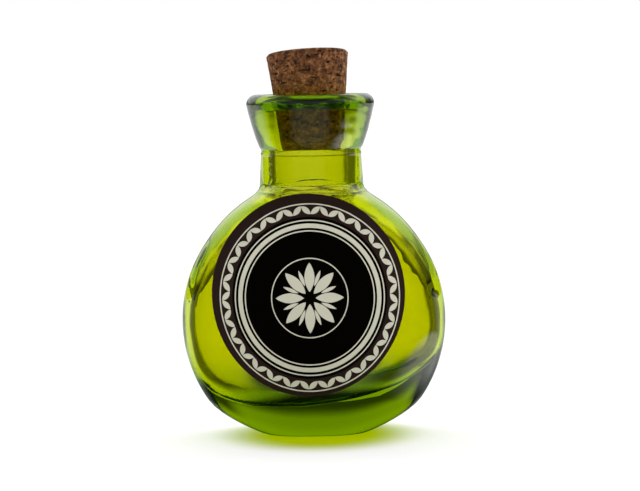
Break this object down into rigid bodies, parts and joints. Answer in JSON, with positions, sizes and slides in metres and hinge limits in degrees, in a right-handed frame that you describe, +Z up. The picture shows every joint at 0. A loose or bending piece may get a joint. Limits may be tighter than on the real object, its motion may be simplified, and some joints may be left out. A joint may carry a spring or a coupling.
{
  "type": "decorative glass bottle",
  "caption": "Small moon-shaped decorative glass flask with a flared collar, a leaning tapered cork stopper that pulls out and an oval front label.",
  "frame": {"origin": "middle of the flat foot, on the surface that the bottle stands on", "axes": "+Z up through the neck, -Y out of the labelled face, +X to the right of someone who looks at the label"},
  "size_m": [0.0752, 0.0364, 0.1094],
  "materials": {
    "green_glass": "clear yellow-green glass, polished, slightly uneven",
    "cork": "raw cork with fine pits and dark grain",
    "label": "glossy dark printed paper with a cream border"
  },
  "bodies": {
    "bottle": {"glass_bottle": "green_glass", "label": "label"},
    "stopper": {"cork_stopper": "cork"}
  },
  "joints": [
    {"name": "cork_pull", "type": "slide", "parent": "bottle", "child": "stopper", "axis": [-0.0469, 0.0837, 0.9954], "range_m": [0, 0.03]}
  ]
}
